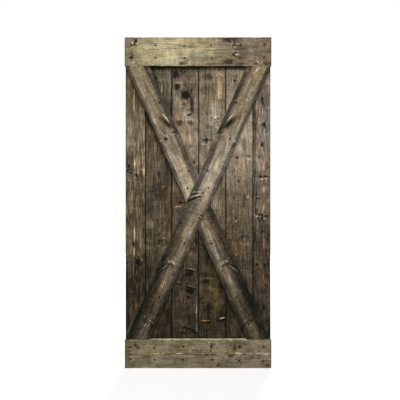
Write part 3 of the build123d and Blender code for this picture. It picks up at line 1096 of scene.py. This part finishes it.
def edge_wear(board, side, along):
    """What is rubbed or chipped off an edge."""
    place = board.seed * 5.3 + side * 31.7
    rubbed = noise.noise(Vector((place, along / 42.0, 2.2)))
    chipped = noise.noise(Vector((place, along / 13.0, 8.8)))
    return 0.3 + 0.9 * max(0.0, rubbed) + 2.4 * max(0.0, chipped - 0.28)


def things_near(board, middle):
    """The cuts, knots and nails that may reach a row of the mesh whose middle is so far along."""
    slack = 2.0 * BRACE_HALF
    cuts = [m for m in board.marks
            if is_cut(m) and abs(m.along - middle) < slack + m.half_along + m.half_across]
    spots = [k for k in board.knots if abs(k.along - middle) < slack + 4 * k.radius]
    nails = [n for n in board.nails if abs(n[1] - middle) < slack + 3 * NAIL_DIMPLE_RADIUS]
    return cuts, spots, nails


def face_wear(board, point, along, near):
    """What is gone from a place on the front or back of a board."""
    cuts, spots, nails = near
    in_front = point.out_depth < 0
    worn = weathering(board, point.across, along, 0.0 if in_front else 40.0)
    worn += sum(knot_relief(k, point.across, along) for k in spots)
    if in_front:
        worn += sum(cut_relief(m, point.across, along) for m in cuts)
        for across, nail_along in nails:
            away = math.hypot(point.across - across, along - nail_along)
            worn += NAIL_DIMPLE * bell(away / NAIL_DIMPLE_RADIUS)
    return worn


def shape_row(board, shape, points, share):
    """The points of one row of a board's mesh, in the frame."""
    near = things_near(board, shape.start(0.0) + share * (shape.end(0.0) - shape.start(0.0)))
    row = []
    for p in points:
        end_grain = noise.noise(Vector((p.across / 7.0, p.depth / 5.0, board.seed * 3.3)))
        ragged = max(0.0, 0.3 + 0.5 * end_grain)
        first, last = shape.start(p.across) + ragged, shape.end(p.across) - ragged
        along = first + share * (last - first)
        worn = p.wear * edge_wear(board, p.side, along) if p.wear else 0.0
        if abs(p.out_depth) > 0.9:
            worn += face_wear(board, p, along, near)
        worn = max(worn, 0.0)
        to_end = max(0.0, min(along - first, last - along))
        if to_end < shape.end_round and p.out_depth < 0:
            short = shape.end_round - to_end
            worn += (shape.end_round - math.sqrt(shape.end_round ** 2 - short ** 2)) * -p.out_depth
        x, z = board.in_leaf(p.across - worn * p.out_across, along)
        row.append((x * MM, (p.depth - worn * p.out_depth) * MM, z * MM))
    return row


# The boards' meshes


def stations(start, end, step, spots):
    """Shares of a board's length at which its mesh has a row, closer together at its knots."""
    places = [start] + [start + inset for inset in END_ROWS]
    while places[-1] < end - END_ROWS[-1] - step:
        here = places[-1]
        close = any(abs(here - spot.along) < 2.4 * spot.radius for spot in spots)
        places.append(here + (min(step, KNOT_ROW) if close else step))
    places += [end - inset for inset in reversed(END_ROWS)] + [end]
    return [(place - start) / (end - start) for place in places]


def end_faces(counts, offset):
    """The faces that close an end of a board, for the numbers of points in each part of its profile."""
    front, right, back, left = counts
    at_right, at_back, at_left = front, front + right, front + right + back
    faces = []
    for k in range(back - 1):
        behind = at_back + back - 1 - k
        faces.append([2 * k, 2 * k + 1, 2 * k + 2, behind - 1, behind])
    faces.append([front - 1] + list(range(at_right, at_back)) + [at_back])
    faces.append([at_back + back - 1] + list(range(at_left, at_left + left)) + [0])
    return [[offset + k for k in face] for face in faces]


def ring_faces(rows, around, offset=0):
    """The faces between closed rows of points."""
    starts = [(offset + row * around, k) for row in range(rows - 1) for k in range(around)]
    return [[row + k, row + (k + 1) % around, row + (k + 1) % around + around, row + k + around]
            for row, k in starts]


def new_object(name, verts, faces, material):
    """A smooth object with sharp creases."""
    mesh = bpy.data.meshes.new(name)
    mesh.from_pydata(verts, [], faces)
    mesh.materials.append(material)
    mesh.shade_smooth()
    mesh.set_sharp_from_angle(angle=CREASE)
    made = bpy.data.objects.new(name, mesh)
    bpy.context.scene.collection.objects.link(made)
    return made


def board_mesh(board, shape):
    """The points and faces of a board's closed mesh, in the frame."""
    points = [p for part in shape.profile for p in part]
    shares = stations(shape.start(0.0), shape.end(0.0), shape.step, board.knots)
    verts = [place for share in shares for place in shape_row(board, shape, points, share)]
    counts = [len(part) for part in shape.profile]
    faces = ring_faces(len(shares), len(points))
    faces += [face[::-1] for face in end_faces(counts, 0)]
    faces += end_faces(counts, (len(shares) - 1) * len(points))
    if board.across[0] * board.along[1] - board.across[1] * board.along[0] < 0:
        faces = [face[::-1] for face in faces]
    return verts, faces


def level_cut(height):
    """Where a diagonal meets a level line, as a place along it for each place across."""
    return lambda across: (height - CROSSING_Z - across * math.sin(BRACE_LEAN)) / math.cos(BRACE_LEAN)


def butt_cut(side):
    """Where a half diagonal meets the through one, above it or below it."""
    reach = side * (BRACE_HALF + BUTT_GAP)
    return lambda across: (reach + across * math.cos(2 * BRACE_LEAN)) / math.sin(2 * BRACE_LEAN)


def board_shape(board):
    """The profile and the ends of a board."""
    if board in PLANKS:
        return Shape(plank_profile(board), lambda a: LEAF_BOTTOM, lambda a: RAIL_TOP, PLANK_ROW, 0.6)
    if board in RAILS:
        return Shape(face_board_profile(board, RAIL_ROUND), lambda a: -RAIL_REACH, lambda a: RAIL_REACH,
                     FACE_BOARD_ROW, RAIL_ROUND)
    at_top = level_cut(RAIL_TOP - RAIL_WIDTH - BUTT_GAP)
    at_bottom = level_cut(LEAF_BOTTOM + RAIL_WIDTH + BUTT_GAP)
    ends = {"brace_through": (at_bottom, at_top), "brace_upper_left": (butt_cut(1.0), at_top),
            "brace_lower_right": (at_bottom, butt_cut(-1.0))}[board.name]
    return Shape(face_board_profile(board, BRACE_ROUND), *ends, FACE_BOARD_ROW, 0.5)


def dress(board):
    """Puts the weathered board in place of its CAD node."""
    verts, faces = board_mesh(board, board_shape(board))
    shown = new_object(board.name + "_dressed", verts, faces, wood_material(board))
    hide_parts(board.name)
    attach(shown, "root")


for boards, finish in ((PLANKS, "plank_wood"), (RAILS, "rail_wood"), (BRACES, "brace_wood")):
    for board in boards:
        dress(board)


# The nails

NAIL_RADIUS = 3.9
NAIL_TOP = 0.75
NAIL_SIDES = 20
# Share of the radius, and depth, of each ring of a head
NAIL_RINGS = [(1.0, NAIL_TOP + 2.0), (1.0, NAIL_TOP + 0.45), (0.84, NAIL_TOP + 0.14), (0.45, NAIL_TOP)]


def iron_material():
    """Dark, rusted nail heads."""
    material, tree, shader = new_material("nail_iron")
    place = object_place(tree, 1 / MM)
    rust = ramp_between(noise_node(place, (0.7, 0.7, 0.7), 4.0), 0.35, 0.62)
    colour = mix_colours(tree, rust, srgb(26, 23, 20), srgb(62, 42, 28), "MIX")
    pits = noise_node(place, (1.6, 1.6, 1.6), 3.0)
    finish_inputs(shader, colour, ramp_between(rust, 0.0, 1.0, 0.45, 0.85), pits, 0.3 * MM)
    shader.inputs["Metallic"].default_value = 0.6
    return material


def nail_heads(board, material):
    """The heads of a board's nails: low domes, sunk just under the face, as one piece."""
    turns = [2 * math.pi * k / NAIL_SIDES for k in range(NAIL_SIDES)]
    verts, faces = [], []
    for nail in board.nails:
        x, z = board.in_leaf(*nail)
        first = len(verts)
        verts += [((x + share * NAIL_RADIUS * math.cos(turn)) * MM, depth * MM,
                   (z + share * NAIL_RADIUS * math.sin(turn)) * MM)
                  for share, depth in NAIL_RINGS for turn in turns]
        last = len(verts) - NAIL_SIDES
        faces += ring_faces(len(NAIL_RINGS), NAIL_SIDES, first)
        faces += [list(range(first, first + NAIL_SIDES))[::-1], list(range(last, last + NAIL_SIDES))]
    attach(new_object(board.name + "_nails", verts, faces, material), "root")


IRON = iron_material()
for board in RAILS + BRACES:
    nail_heads(board, IRON)


# The stage, the lights and the camera

WHITE = (1.0, 1.0, 1.0, 1.0)
WORLD_LIGHT = 0.19
FLOOR_DROP = 0.0005
FLOOR_HALF = 4.5
FLOOR_LIFT_NEAR = 0.26
FLOOR_LIFT_FAR = 0.62
LEAF_MIDDLE = (0.0, 0.0, -1.0)
CAMERA_DISTANCE = 2.10
WIDTH_SEEN = 2.5775
CAMERA_RIGHT = 0.0129
CAMERA_HEIGHT = -0.9573


def camera_only(tree):
    """One where the camera, a reflection or a refraction looks, and zero for the light on the leaf."""
    outputs = node(tree, "ShaderNodeLightPath").socket.node.outputs
    seen = Value(outputs["Is Camera Ray"])
    for ray in ("Is Glossy Ray", "Is Transmission Ray"):
        seen = seen.work_out("MAXIMUM", seen, Value(outputs[ray]))
    return seen


def white_world():
    """Soft light all round, and white where the camera sees past the leaf."""
    world = bpy.data.worlds.new("studio")
    bpy.context.scene.world = world
    world.use_nodes = True
    tree = world.node_tree
    tree.nodes.clear()
    light, white = (node(tree, "ShaderNodeBackground", {"Color": WHITE, "Strength": strength})
                    for strength in (WORLD_LIGHT, 1.0))
    mixed = node(tree, "ShaderNodeMixShader", {0: camera_only(tree), 1: light, 2: white})
    node(tree, "ShaderNodeOutputWorld", {0: mixed})


def floor_paint():
    """Pale paint, lifted for the camera to near the backdrop's white."""
    material, tree, _ = new_material("floor_paint")
    tree.nodes.clear()
    place = object_place(tree)
    shade = ramp_between(noise_node(place, (6.0, 6.0, 6.0), 3.0), 0.0, 1.0, 0.80, 0.84)
    paint = node(tree, "ShaderNodeBsdfDiffuse", {"Color": shade})
    lift = camera_only(tree) * ramp_between(place.length(), 2.6, 4.8, FLOOR_LIFT_NEAR, FLOOR_LIFT_FAR)
    glow = node(tree, "ShaderNodeEmission", {"Color": WHITE, "Strength": lift})
    lifted = node(tree, "ShaderNodeAddShader", {0: paint, 1: glow})
    node(tree, "ShaderNodeOutputMaterial", {0: lifted})
    return material


def pale_floor():
    """A pale floor that keeps the leaf's shadow."""
    corners = [(x * FLOOR_HALF, y * FLOOR_HALF, cad_low.z - FLOOR_DROP)
               for x, y in ((-1, -1), (1, -1), (1, 1), (-1, 1))]
    new_object("floor", corners, [(0, 1, 2, 3)], floor_paint())


def softbox(name, place, size, power):
    """A square soft light that looks at the middle of the leaf."""
    data = bpy.data.lights.new(name, "AREA")
    data.shape = "SQUARE"
    data.size = size
    data.energy = power
    lamp = bpy.data.objects.new(name, data)
    bpy.context.scene.collection.objects.link(lamp)
    lamp.location = place
    lamp.rotation_euler = (Vector(LEAF_MIDDLE) - Vector(place)).to_track_quat("-Z", "Y").to_euler()


def photo_camera():
    """Looks straight at the leaf's front, with the leaf a little left of the middle."""
    data = bpy.data.cameras.new("camera")
    data.sensor_width = 36.0
    data.lens = data.sensor_width * CAMERA_DISTANCE / WIDTH_SEEN
    camera = bpy.data.objects.new("camera", data)
    bpy.context.scene.collection.objects.link(camera)
    camera.location = (CAMERA_RIGHT, -CAMERA_DISTANCE, CAMERA_HEIGHT)
    camera.rotation_euler = (math.pi / 2, 0.0, 0.0)
    bpy.context.scene.camera = camera


white_world()
pale_floor()
softbox("key", (-0.4, -2.9, 4.0), 1.8, 335.0)
softbox("back", (0.8, 3.6, 3.0), 2.4, 260.0)
photo_camera()
bpy.context.scene.view_settings.view_transform = "Standard"
